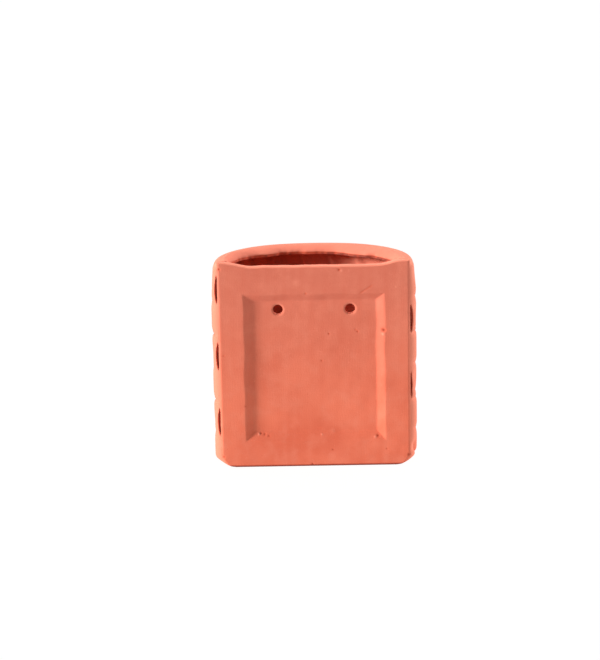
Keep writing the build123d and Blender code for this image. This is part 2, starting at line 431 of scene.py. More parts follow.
@dataclass(frozen=True)
class PlaitRelief:
    """Raises three plaited bands on a skin that carries run, rise, reach and way."""

    strands: float = 10.5
    lean: float = 0.62
    proud: float = 3.15
    groove: float = 0.8
    groove_width: float = 1.1
    overlap: float = 1.3
    width: float = 0.86
    round_across: Pair = (2.4, 0.6)
    round_along: Pair = (4.0, 0.6)
    blend: float = 0.12
    fullness: float = 1.03
    unevenness: float = 0.08
    wander: float = 3.0
    noise_scale: float = 38.0
    rim_blur: float = 0.6
    valley_from: Pair = (4.0, 12.0)
    valley_to: Pair = (140.0, 148.0)
    valley_left: float = 0.15
    seed: float = 3.0

    @property
    def inputs(self) -> dict[str, float]:
        """The tree's named numbers; the pitch is the spacing of the strands along the bow."""
        return {"Pitch": Bow(BODY).length / self.strands, "Lean": self.lean, "Proud": self.proud,
                "Groove": self.groove, "Band Height": BODY.band, "Seed": self.seed}

    def tree(self) -> bpy.types.NodeTree:
        """Build the node group, or return the one already built."""
        name = "plait_relief"
        if name in bpy.data.node_groups:
            return bpy.data.node_groups[name]
        tree = bpy.data.node_groups.new(name, "GeometryNodeTree")
        face = tree.interface
        face.new_socket("Geometry", in_out="INPUT", socket_type="NodeSocketGeometry")
        for label, value in self.inputs.items():
            face.new_socket(label, in_out="INPUT", socket_type="NodeSocketFloat").default_value = value
        face.new_socket("Clay", in_out="INPUT", socket_type="NodeSocketMaterial")
        face.new_socket("Geometry", in_out="OUTPUT", socket_type="NodeSocketGeometry")
        g = Graph(tree)
        given = g.node("NodeGroupInput").outputs

        def stored(layer: Layer, kind: str = "FLOAT") -> Socket:
            """Read one of the mesh's attributes."""
            made = g.node("GeometryNodeInputNamedAttribute", {"Name": layer.value}, data_type=kind)
            return made.outputs["Attribute"]

        rise, run = stored(Layer.RISE), stored(Layer.RUN)
        reach, way = stored(Layer.REACH), stored(Layer.WAY, "FLOAT_VECTOR")
        place = g.node("GeometryNodeInputPosition").outputs[0]
        noise = g.node("ShaderNodeTexNoise", {"Vector": place, "W": given["Seed"], "Scale": self.noise_scale,
                                              "Detail": 1.0}, noise_dimensions="4D")
        uneven = g.times(g.less(noise.outputs[0], 0.5), 4 * self.unevenness)
        turns = g.math("DIVIDE", rise, given["Band Height"])
        band = g.math("MINIMUM", g.math("MAXIMUM", g.math("FLOOR", turns), 0.0), BODY.bands - 1.0)
        within = g.times(g.less(turns, band), given["Band Height"])
        half = g.times(given["Band Height"], 0.5)

        def rounded(value: Socket, powers: Pair) -> Socket:
            """A section that is 1 in the middle, 0 at value 1 and rounded between."""
            rest = g.math("SUBTRACT", 1.0, g.math("POWER", value, powers[0]), clamp=True)
            return g.math("POWER", rest, powers[1])

        def strands(upper: float) -> Socket:
            """Height, 0 to 1, of one row of leaning strands."""
            hand = 2.0 * upper - 1.0
            off = g.less(within, g.times(half, 0.5 + upper))
            share = g.math("DIVIDE", off, g.times(half, 0.5 * self.overlap))
            sheared = g.add(run, g.times(g.times(given["Lean"], hand), off))
            sheared = g.add(sheared, g.times(uneven, self.wander))
            steps = g.less(g.math("DIVIDE", sheared, given["Pitch"]), 0.5 * upper)
            local = g.less(g.math("FRACT", g.add(steps, 0.5)), 0.5)
            width = g.math("DIVIDE", g.math("ABSOLUTE", local), 0.5 * self.width)
            length = g.math("MINIMUM", g.math("ABSOLUTE", share), 1.0)
            return g.times(rounded(width, self.round_across), rounded(length, self.round_along))

        merged = g.math("SMOOTH_MAX", strands(0.0), strands(1.0), self.blend)
        top = BODY.band * BODY.bands
        roll = g.between(rise, top - self.rim_blur, top + self.rim_blur, 0.0, 1.0)
        crest = g.math("MINIMUM", g.times(merged, g.add(uneven, self.fullness)), 1.0)
        crest = g.math("MAXIMUM", crest, stored(Layer.FILL))
        crest = g.add(g.times(crest, g.less(1.0, roll)), g.times(roll, BODY.rim_crest))
        edge = g.less(g.math("FRACT", g.add(turns, 0.5)), 0.5)
        edge = g.times(g.math("ABSOLUTE", edge), given["Band Height"])
        narrow = g.math("DIVIDE", edge, self.groove_width)
        valley = g.math("EXPONENT", g.times(g.times(narrow, narrow), -1.0))
        valley = g.times(valley, g.between(rise, *self.valley_from, 0.0, 1.0))
        valley = g.times(valley, g.between(rise, *self.valley_to, 1.0, self.valley_left))
        lift = g.less(g.times(crest, given["Proud"]), g.times(valley, given["Groove"]))
        lift = g.times(g.times(lift, reach), MM)
        offset = g.node("ShaderNodeVectorMath", {0: way, "Scale": lift}, operation="SCALE").outputs[0]
        move = g.node("GeometryNodeSetPosition", {"Geometry": given["Geometry"], "Offset": offset})
        keep = g.node("GeometryNodeStoreNamedAttribute", {
            "Name": Layer.CREST.value, "Geometry": move.outputs[0], "Value": g.less(crest, valley)},
            data_type="FLOAT", domain="POINT")
        real = g.node("GeometryNodeRealizeInstances", {0: keep.outputs[0]})
        paint = g.node("GeometryNodeSetMaterial", {"Geometry": real.outputs[0], "Material": given["Clay"]})
        g.node("NodeGroupOutput", {0: paint.outputs[0]})
        return tree

    def raise_on(self, piece: bpy.types.Object, clay: bpy.types.Material) -> None:
        """Run the tree on a piece and keep the result as its plain mesh."""
        tree = self.tree()
        modifier = piece.modifiers.new("plait", "NODES")
        modifier.node_group = tree
        wanted = {**self.inputs, "Clay": clay}
        for item in tree.interface.items_tree:
            if item.in_out == "INPUT" and item.name in wanted:
                modifier[item.identifier] = wanted[item.name]
        plain_mesh(piece)


def plain_mesh(piece: bpy.types.Object) -> None:
    """Turn a piece with modifiers into one with a plain mesh."""
    bpy.context.view_layer.update()
    depsgraph = bpy.context.evaluated_depsgraph_get()
    mesh = bpy.data.meshes.new_from_object(piece.evaluated_get(depsgraph), depsgraph=depsgraph)
    piece.modifiers.clear()
    piece.data = mesh
    mesh.name = piece.name


def drill(piece: bpy.types.Object, at: Triple, radius: float, segments: int,
          level: bool = False) -> None:
    """Cut a round hole right through a piece.

    Args:
        piece: what is drilled.
        at: a point on the hole's axis, as across, depth and height.
        radius: the hole's radius in millimetres.
        segments: how many flat sides the hole's wall has.
        level: whether the hole runs level, from back to front, and not upright.
    """
    mesh = bpy.data.meshes.new("drill")
    work = bmesh.new()
    matrix = Matrix.Translation(Vector(placed(at)))
    if level:
        matrix = matrix @ Matrix.Rotation(math.pi / 2, 4, "X")
    bmesh.ops.create_cone(work, cap_ends=True, segments=segments, radius1=radius * MM, radius2=radius * MM,
                          depth=DRILL_LENGTH * MM, matrix=matrix)
    work.to_mesh(mesh)
    work.free()
    cutter = linked(mesh.name, mesh)
    modifier = piece.modifiers.new(cutter.name, "BOOLEAN")
    modifier.operation, modifier.solver, modifier.object = "DIFFERENCE", "EXACT", cutter
    plain_mesh(piece)
    bpy.data.objects.remove(cutter)


@dataclass(frozen=True)
class Grain:
    """A layer of noise: scale per metre, detail and roughness; it rises from 0 at low to share at high."""

    scale: float
    detail: float
    rough: float = 0.55
    low: float = 0.0
    high: float = 1.0
    share: float = 1.0
    stretch: Triple = (1.0, 1.0, 1.0)


@dataclass(frozen=True)
class Terracotta:
    """Unglazed fired clay: cloudy tone, fine grit, pale worn crests, drag marks, a faint weave, painted
    highlights and shade.
    """

    name: str = "terracotta"
    base: Triple = (0.790, 0.178, 0.096)
    pale: Triple = (0.790, 0.245, 0.155)
    deep: Triple = (0.620, 0.100, 0.046)
    # Tone for painted shade toward the top, then near black for painted shade and dark marks.
    painted_top_dimming: Triple = (0.620, 0.160, 0.100)
    painted_shade_and_dark_marks: Triple = (0.230, 0.045, 0.028)
    cloud: Grain = Grain(22.0, 3.0, 0.55, 0.34, 0.68, 0.55)
    blotch: Grain = Grain(70.0, 4.0, 0.60, 0.42, 0.72, 0.275)
    grit: Grain = Grain(900.0, 2.0, 0.70, 0.62, 0.78, 0.50)
    dark_grit: Grain = Grain(620.0, 2.0, 0.60, 0.66, 0.80, 0.45)
    painted_top_dimming_from: Range = (0.02, 0.16, 0.0, 0.8)
    pale_crest: Range = (0.55, 1.1, 0.0, 0.3)
    painted_shade_and_dark_marks_from: Range = (-2.0, -1.1, 0.85, 0.0)
    highlight_and_mark_pale: float = 0.6
    shade_and_mark_deep: float = -0.75
    roughness: float = 0.78
    rough_grain: Grain = Grain(160.0, 3.0, share=0.16)
    drag: Grain = Grain(120.0, 3.0, 0.60, share=0.8, stretch=(0.25, 1.0, 1.6))
    fine: Grain = Grain(1400.0, 3.0, 0.70, share=0.45)
    stray: Grain = Grain(90.0, 3.0, share=22.0)
    weave: float = 3300.0
    thread: float = 0.028
    bump_strength: float = 0.45
    bump_distance: float = 0.0006
    specular: float = 0.28

    def material(self) -> bpy.types.Material:
        """Build the node material."""
        made = bpy.data.materials.new(self.name)
        made.use_nodes = True
        made.node_tree.nodes.clear()
        g = Graph(made.node_tree)
        place = g.node("ShaderNodeTexCoord").outputs["Object"]

        def noise(grain: Grain) -> Socket:
            """The plain noise of a layer."""
            spread = g.node("ShaderNodeMapping", {"Vector": place, "Scale": grain.stretch}).outputs[0]
            return g.node("ShaderNodeTexNoise", {
                "Vector": spread, "Scale": grain.scale, "Detail": grain.detail,
                "Roughness": grain.rough}).outputs[0]

        def mix(share, one, two) -> Socket:
            """Mix two colours by a share."""
            one, two = ((*tone, 1.0) if isinstance(tone, tuple) else tone for tone in (one, two))
            return g.node("ShaderNodeMix", {0: share, 6: one, 7: two}, data_type="RGBA").outputs[2]

        def spots(grain: Grain) -> Socket:
            """Where a layer shows, from 0 to its share."""
            return g.between(noise(grain), grain.low, grain.high, 0.0, grain.share)

        apart = g.node("ShaderNodeSeparateXYZ", {0: place})
        wear = g.node("ShaderNodeAttribute", attribute_name=Layer.WEAR.value).outputs["Fac"]
        crest = g.node("ShaderNodeAttribute", attribute_name=Layer.CREST.value).outputs["Fac"]
        colour = mix(spots(self.cloud), self.base, self.deep)
        # Painted shade: the clay dulls toward the top, where less light falls. Painted highlights turn paler,
        # painted shade deeper and near black, besides real marks.
        for share, tone in ((g.between(apart.outputs["Z"], *self.painted_top_dimming_from), self.painted_top_dimming),
                            (spots(self.blotch), self.pale),
                            (g.math("MAXIMUM", g.times(wear, self.highlight_and_mark_pale), 0.0), self.pale),
                            (g.between(crest, *self.pale_crest), self.pale),
                            (g.math("MAXIMUM", g.times(wear, self.shade_and_mark_deep), 0.0), self.deep),
                            (g.between(wear, *self.painted_shade_and_dark_marks_from), self.painted_shade_and_dark_marks),
                            (spots(self.grit), self.pale), (spots(self.dark_grit), self.deep)):
            colour = mix(share, colour, tone)
        rough = g.add(g.times(noise(self.rough_grain), self.rough_grain.share), self.roughness)
        skin = g.add(*(g.times(noise(grain), grain.share) for grain in (self.drag, self.fine)))
        stray = g.times(noise(self.stray), self.stray.share)
        for axis in ("X", "Z"):
            wave = g.math("SINE", g.add(g.times(apart.outputs[axis], self.weave), stray))
            skin = g.add(skin, g.times(wave, self.thread))
        relief = g.node("ShaderNodeBump", {"Height": skin, "Strength": self.bump_strength,
                                           "Distance": self.bump_distance})
        shader = g.node("ShaderNodeBsdfPrincipled", {"Base Color": colour, "Roughness": rough,
                                                     "Normal": relief.outputs[0],
                                                     "Specular IOR Level": self.specular})
        g.node("ShaderNodeOutputMaterial", {0: shader.outputs[0]})
        return made


@dataclass(frozen=True)
class Blemish:
    """A small round dent (deep > 0) or bump (deep < 0) on the back, in millimetres."""

    across: float
    height: float
    radius: float
    deep: float

    def at(self, across: np.ndarray, height: np.ndarray) -> np.ndarray:
        """Strength of the mark at places on the back: 1 in its middle, fading outward."""
        far = ((across - self.across) ** 2 + (height - self.height) ** 2) / self.radius**2
        return np.exp(-far * 1.6)


@dataclass
class BackSlab:
    """The flat back: rolled top edge with a scoop, sunken panel and two hanging holes."""

    sizes: BodySizes = BODY
    step: float = 0.56
    flat_top: float = 152.4
    rise_left: Pair = (46.0, 70.0)
    rise_right: Pair = (44.0, 68.0)
    top_wander: float = 0.18
    roll: float = 1.1
    roll_ease: float = 0.36
    roll_steps: int = 8
    front_rows: int = 39
    panel_half: float = 52.2
    panel_low: float = 19.5
    panel_high: float = 131.5
    panel_deep: float = 3.3
    bevel_across: float = 6.2
    bevel_up: float = 5.0
    bevel_low: float = 6.6
    bevel_crisp: float = 22.0
    waviness: float = 0.35
    swell: float = 0.16
    tremor: float = 0.05
    lip: float = 1.0
    edge_pale: float = 0.4
    # Painted highlight on the rolled top edge.
    top_highlight: float = 0.9
    # Painted shadow along the bottom edge, where the slab meets the floor.
    under_shade: float = -1.8
    foot_shade: float = 2.1
    streak_shade: float = 0.07
    scratch_shade: float = 0.8
    hole_pale: float = 0.5
    mark_shade: Pair = (4.5, 2.0)
    holes: tuple[Pair, ...] = ((26.75, 119.5), (-26.75, 119.5))
    hole_radius: float = 3.75
    hole_segments: int = 56
    hole_dish: float = 0.55
    scratch_deep: float = 0.4
    scratch_start: Pair = (-33.8, 131.6)
    scratch_slope: float = -0.63
    scratch_width: float = 0.55
    blemishes: tuple[Blemish, ...] = tuple(Blemish(*mark) for mark in (
        (-19.0, 149.5, 1.1, 0.6), (-20.6, 148.9, 1.0, -0.4), (13.0, 140.3, 3.2, -0.16),
        (-51.4, 103.5, 1.7, 0.9), (-51.0, 100.5, 1.3, -0.5), (-12.5, 12.6, 0.9, 0.5),
        (-10.8, 100.8, 0.8, 0.4), (-32.0, 102.3, 0.8, 0.4), (-30.5, 103.5, 0.7, 0.3),
        (42.6, 25.0, 1.1, -0.4), (41.2, 25.4, 0.9, 0.45), (38.4, 24.6, 1.1, 0.4), (35.2, 23.4, 0.9, 0.4),
        (-46.5, 22.5, 1.2, 0.5), (-44.5, 21.8, 1.0, -0.4), (69.3, 151.2, 1.1, 0.8), (69.4, 8.2, 0.9, 0.5),
        (-69.6, 7.8, 1.1, 0.6), (-53.0, 12.6, 0.7, 0.4), (3.0, 1.8, 0.8, 0.4), (-4.6, 24.0, 0.8, -0.4),
        (6.0, 132.0, 0.9, 0.3), (-5.2, 80.5, 0.7, 0.35), (67.6, 86.0, 0.7, 0.3), (52.2, 47.0, 0.7, 0.35),
        (-13.2, 26.4, 2.2, -0.12), (-60.5, 136.0, 0.7, -0.35)))

    def top(self, across: np.ndarray) -> np.ndarray:
        """Height of the slab's top edge."""
        left = smooth(across, *self.rise_left) * (self.sizes.height - self.flat_top)
        right = smooth(-across, *self.rise_right) * (self.sizes.height - self.flat_top)
        wander = self.top_wander * Ripple(5, 14).at(across)
        return np.minimum(self.flat_top + left + right + wander, self.sizes.height)

    def sunk(self, across: np.ndarray, height: np.ndarray) -> np.ndarray:
        """How far the back face lies in front of the flat back plane (positive is sunken)."""
        wobble = Ripple(11, 26)
        x = across + self.waviness * wobble.at(height, across * 0.3)
        z = height + self.waviness * wobble.at(across, height * 0.3)
        side = (self.panel_half - np.abs(x)) / self.bevel_across
        low = (z - self.panel_low) / self.bevel_low
        high = (self.panel_high - z) / self.bevel_up
        share = np.minimum(np.minimum(side, low), high)
        crisp = self.bevel_crisp
        share = -np.log(np.exp(-np.clip(share, -2, 3) * crisp) + math.exp(-crisp)) / crisp
        share = np.where(share > -0.35, np.log1p(np.exp(np.clip(share, -2, 2) * crisp)) / crisp, 0.0)
        sunk = self.panel_deep * share + self.swell * Ripple(2, 46).at(across, height)
        sunk = sunk + self.tremor * Ripple(9, 12).at(across, height)
        for spot in self.blemishes:
            sunk = sunk + spot.deep * spot.at(across, height)
        sunk = sunk + self.hole_dish * (1 - smooth(self.beside_hole(across, height), -0.2, 1.3))
        return sunk + self.scratch_deep * self.scratch(across, height)

    def beside_hole(self, across: np.ndarray, height: np.ndarray) -> np.ndarray:
        """Distance to the edge of the nearer hole, negative inside it."""
        return np.min([np.hypot(across - a, height - h) for a, h in self.holes], axis=0) - self.hole_radius

    def scratch(self, across: np.ndarray, height: np.ndarray) -> np.ndarray:
        """Strength, 0 to 1, of the one slanting scratch above the panel."""
        start_across, start_height = self.scratch_start
        line = start_height + self.scratch_slope * (across - start_across)
        on = smooth(-across, 33.0, 35.0) * (1 - smooth(-across, 42.0, 44.5))
        return bump(height, line, self.scratch_width) * on

    def tone_and_painted_light(self, across: np.ndarray, height: np.ndarray) -> np.ndarray:
        """Paler (positive) and deeper (negative) clay at the marks and round the holes; painted shadow at the
        foot.
        """
        streak = Ripple(41, 7).at(across, height * 0.06) + Ripple(42, 5).at(across, height * 0.04)
        # Painted shadow: the lowest rows are darkened where the slab meets the floor.
        shade = self.streak_shade * streak - self.foot_shade * (1 - smooth(height, 0.9, 1.9))
        shade = shade - self.scratch_shade * self.scratch(across, height)
        growth, most = self.mark_shade
        for spot in self.blemishes:
            strength = math.copysign(min(abs(spot.deep) * growth, most), spot.deep)
            shade = shade - strength * spot.at(across, height)
        return shade + self.hole_pale * bump(self.beside_hole(across, height), 0.9, 0.7)

    def build(self, clay: bpy.types.Material) -> bpy.types.Object:
        """Draw the slab as one closed skin and cut the holes."""
        draft = Draft("back_slab_clay")
        outline = Outline(self.sizes)
        half = self.sizes.slab_half
        share = np.linspace(-1, 1, int(2 * half / self.step) + 1)
        up = np.linspace(0, 1, int(self.flat_top / self.step) + 1)
        turn = np.linspace(0, 1, self.roll_steps + 1)[1:]
        down = np.linspace(0, 1, self.front_rows + 1)[1:]
        edge = np.clip((np.abs(share) * half - half) / self.sizes.edge_across + 1, 0, 1)
        side = self.sizes.edge_depth * edge**2
        numbers = []

        def row(height: np.ndarray, depth: np.ndarray | float, wear: np.ndarray | float) -> None:
            """Add one row of points at heights, depths and shades for every column."""
            x = share * outline.slab_half(height)
            depth = np.broadcast_to(depth, x.shape)
            numbers.append(draft.add(np.stack([x, depth, height], -1), rise=height, wear=wear))

        tops = self.top(share * half)
        for t in up:
            height = self.lip + t * (tops - self.roll - self.lip)
            x = share * outline.slab_half(height)
            shade = self.tone_and_painted_light(x, height) + self.edge_pale * edge
            row(height, np.maximum(self.sunk(x, height), 0.0) + side, shade)
        # The rolled top edge gets a painted highlight, fading as it turns over toward the front.
        ease = self.roll_ease
        for a in turn:
            height = tops - self.roll * (1 - a) * (1 - ease * a)
            row(height, np.maximum(self.roll * ((1 - ease) * a + ease * a * a), side), self.top_highlight)
        for a in turn:
            row(tops - self.roll * a * a, self.sizes.slab - self.roll * (1 - a) ** 2, self.top_highlight * (1 - a))
        for t in down:
            row((tops - self.roll) * (1 - t), self.sizes.slab, 0.0)
        # The bottom row is painted dark: painted shadow where the slab meets the floor.
        row(np.zeros_like(tops), np.maximum(self.lip * 0.4, side), self.under_shade)
        numbers.append(numbers[0])
        grid = np.stack(numbers)
        draft.quads(grid, flip=True)
        draft.cap(grid)
        made = draft.build()
        made.data.materials.append(clay)
        for across, height in self.holes:
            drill(made, (across, self.sizes.slab / 2, height), self.hole_radius, self.hole_segments, True)
        return made


@dataclass
class FrontWall:
    """The bowed wall with its plaited bands; hollows follow the plaits on the inside."""

    sizes: BodySizes = BODY
    row: float = 0.95
    inner_step: float = 1.9
    # Painted shade and painted light on the inside of the wall.
    inner_dark: float = 1.45
    inner_shade_ripple: float = 0.12
    lit_pale: float = 2.2
    lit_share: Pair = (0.40, 0.66)
    rim_near: Pair = (18.0, 2.0)
    follow: float = 0.8
    pocket: float = 5.2
    pocket_reach: Pair = (0.05, 0.24)
    pocket_fade: float = 0.16
    pocket_fill: float = 0.85
    pocket_half: float = 10.5
    pocket_levels: Pair = (35.0, 11.0)
    pocket_open: tuple[tuple[float, ...], ...] = ((0.9, 1.0, 1.0), (0.0, 0.5, 1.0))

    def build(self, clay: bpy.types.Material) -> bpy.types.Object:
        """Draw the outer and inner skins and close them at the base, the rim and the slab.

        Args:
            clay: the material of the skin.

        Returns:
            The finished piece.
        """
        draft = Draft("front_wall_clay")
        s = self.sizes
        outline = Outline(s)
        heights = np.linspace(s.base, s.rim_underside, int((s.rim_underside - s.base) / self.row) + 1)
        col = outline.columns()
        inset = outline.foot_inset(heights)[:, None, None]
        flat = col["point"] - col["out"] * inset
        run, reach = col["run"], col["reach"]
        near = from_ends(run)
        high = smooth(s.rim_underside - heights, *self.rim_near)[:, None]
        fill = s.rim_crest * high * (1 - smooth(near, *s.rim_calm))
        for hand in (1.0, -1.0):
            lens = self.lens(heights, hand)[:, None]
            own = col["point"][:, 0] * hand > 0
            stop = self.pocket_reach[0] + self.pocket_reach[1] * lens
            slot = smooth(reach, 0.0, 0.10) * (1 - smooth((reach - stop) / self.pocket_fade, 0.0, 1.0)) * own
            flat[:, :, 1] += self.pocket * np.minimum(lens * 2.0, 1.0) * slot
            full = self.pocket_fill * np.minimum(lens * 1.6, 1.0)
            fill = np.maximum(fill, full * (1 - smooth(near, 4.0, 10.0)) * own)
        skin = np.concatenate([flat, np.broadcast_to(heights[:, None, None], flat.shape[:2] + (1,))], -1)
        # The upright ends beside the slab get the painted edge highlight.
        outer = draft.add(skin, run=run, rise=heights[:, None], fill=fill, way=pushes(col["out"]),
                          reach=reach * outline.taper(heights[:, None], run), wear=outline.painted_edge_highlight(run))
        draft.quads(outer, flip=True)
        rows = np.linspace(s.base, s.rim_underside, len(heights) // 2)
        inner = self.inside(draft, outline, rows)
        draft.zip(outer[0], inner[0], flip=True)
        draft.zip(outer[-1], inner[-1])
        self.ends(draft, outer, inner, heights, outline)
        made = draft.build()
        PlaitRelief().raise_on(made, clay)
        return made

    def inside(self, draft: Draft, outline: Outline, rows: np.ndarray) -> np.ndarray:
        """Add the inner skin, which follows the plaits softly.

        Args:
            draft: the mesh in the making.
            outline: the wall's columns.
            rows: heights of the skin's rows.

        Returns:
            The numbers of the skin's points.
        """
        s = self.sizes
        col = outline.columns(self.inner_step)
        keep = (col["point"][:, 1] > s.slab + 0.5) & ((col["point"] - col["out"] * s.wall)[:, 1] >= s.slab)
        keep[: outline.roll_steps] = keep[-outline.roll_steps:] = False
        point, out, run = (np.concatenate([a[keep][:1], a[keep], a[keep][-1:]])
                           for a in (col["point"], col["out"], col["run"]))
        line = point - out * s.wall
        line[[0, -1], 1] = s.slab
        hold = smooth(line[:, 1], s.slab, s.slab + 5)
        face = np.concatenate([np.broadcast_to(line, (len(rows),) + line.shape),
                               np.broadcast_to(rows[:, None, None], (len(rows), len(line), 1))], -1)
        # Painted light and shade on the inner skin: dark on the +X side, paler on the lit -X side, with a
        # faint ripple.
        lit = smooth(run / col["run"][-1], *self.lit_share)
        shade = self.lit_pale * lit - self.inner_dark + self.inner_shade_ripple * Ripple(51, 14).at(run)
        skin = draft.add(face, run=run, rise=rows[:, None], reach=self.follow * hold, way=pushes(out),
                         wear=shade)
        draft.quads(skin)
        return skin

    def lens(self, heights: np.ndarray, hand: float) -> np.ndarray:
        """How open, 0 to 1, the gap is between the slab's edge and the strands beside it.

        Args:
            heights: heights above the floor.
            hand: 1 for the +X edge and -1 for the -X edge.
        """
        edge = 0 if hand > 0 else 1
        band = np.minimum(heights // self.sizes.band, self.sizes.bands - 1).astype(int)
        local = heights - band * self.sizes.band - self.pocket_levels[edge]
        opened = np.array(self.pocket_open[edge])[band]
        return opened * np.clip(1 - (local / self.pocket_half) ** 2, 0, 1)

    def ends(self, draft: Draft, outer: np.ndarray, inner: np.ndarray, heights: np.ndarray,
             outline: Outline) -> None:
        """Close the two upright ends that lap the slab.

        Args:
            draft: the mesh in the making.
            outer: numbers of the outer skin's points.
            inner: numbers of the inner skin's points.
            heights: heights of the outer skin's rows.
            outline: the wall's columns.
        """
        for column, hand in ((0, 1), (-1, -1)):
            side = np.broadcast_arrays(hand * outline.slab_half(heights), self.sizes.slab, heights)
            corner = draft.add(np.stack(side, -1), rise=heights)
            draft.quads(np.stack([outer[:, column], corner]), hidden=True, flip=hand < 0)
            draft.zip(corner, inner[:, column], flip=hand > 0)
            for level, low in ((0, True), (-1, False)):
                tri = (int(outer[level, column]), int(corner[level]), int(inner[level, column]))
                draft.hidden.append(tri if (hand > 0) == low else tri[::-1])


@dataclass
class BaseSlab:
    """The base: rounded foot, flat underside, floor and drain hole."""

    sizes: BodySizes = BODY
    drain_radius: float = 4.0
    drain_depth: float = 46.0
    drain_segments: int = 48
    rows: int = 12
    floor_rows: int = 8
    floor_gap: float = 0.2
    floor_shade: float = -0.3
    under_shade: float = 0.1

    def build(self, clay: bpy.types.Material) -> bpy.types.Object:
        """Sweep the base's section round the bow, from underside to floor."""
        draft = Draft("base_slab_clay")
        s = self.sizes
        outline = Outline(s)
        col = outline.columns()
        stop = math.acos((s.foot - s.base) / s.foot)
        turn = np.linspace(0, stop, self.rows + 1)
        heights = s.foot * (1 - np.cos(turn))
        inset = s.foot * (1 - np.sin(turn))
        numbers = []
        run = col["run"]
        share = np.linspace(1, -1, len(run))
        way = pushes(col["out"])

        def ring(height: float, draw: float) -> np.ndarray:
            """The chain of points round the bow at a height."""
            flat = col["point"] - col["out"] * draw
            return np.column_stack([flat, np.full(len(flat), height)])

        def spine(height: float) -> np.ndarray:
            """The straight line along the slab that the base's columns run to."""
            side = float(outline.slab_half(height))
            return np.column_stack([share * side, np.full(len(share), s.slab), np.full(len(share), height)])

        under_outer, under_inner = ring(0.0, s.foot), spine(0.0)
        for t in np.linspace(0, 1, self.floor_rows + 1)[:-1]:
            numbers.append(draft.add(under_inner * (1 - t) + under_outer * t, wear=self.under_shade))
        for height, draw in zip(heights, inset):
            reach = col["reach"] * float(smooth(height, 0.0, s.base))
            # The base's ends beside the slab get the painted edge highlight.
            numbers.append(draft.add(ring(height, draw), run=run, rise=height, reach=reach, way=way,
                                     wear=outline.painted_edge_highlight(run)))
        lapped = len(numbers)
        top_inner = spine(s.base)
        within = ring(s.base, inset[-1] + s.wall)
        within[:, 1] = np.maximum(within[:, 1], s.slab + self.floor_gap)
        for t in np.linspace(0, 1, self.floor_rows + 1):
            numbers.append(draft.add(within * (1 - t) + top_inner * t, wear=self.floor_shade))
        numbers.append(numbers[0])
        grid = np.stack(numbers)
        draft.quads(grid[:lapped], flip=True)
        draft.quads(grid[lapped - 1:lapped + 1], hidden=True, flip=True)
        draft.quads(grid[lapped:-1], flip=True)
        draft.quads(grid[-2:], hidden=True, flip=True)
        draft.cap(grid)
        made = draft.build()
        PlaitRelief().raise_on(made, clay)
        drill(made, (0.0, self.drain_depth, 0.0), self.drain_radius, self.drain_segments)
        return made


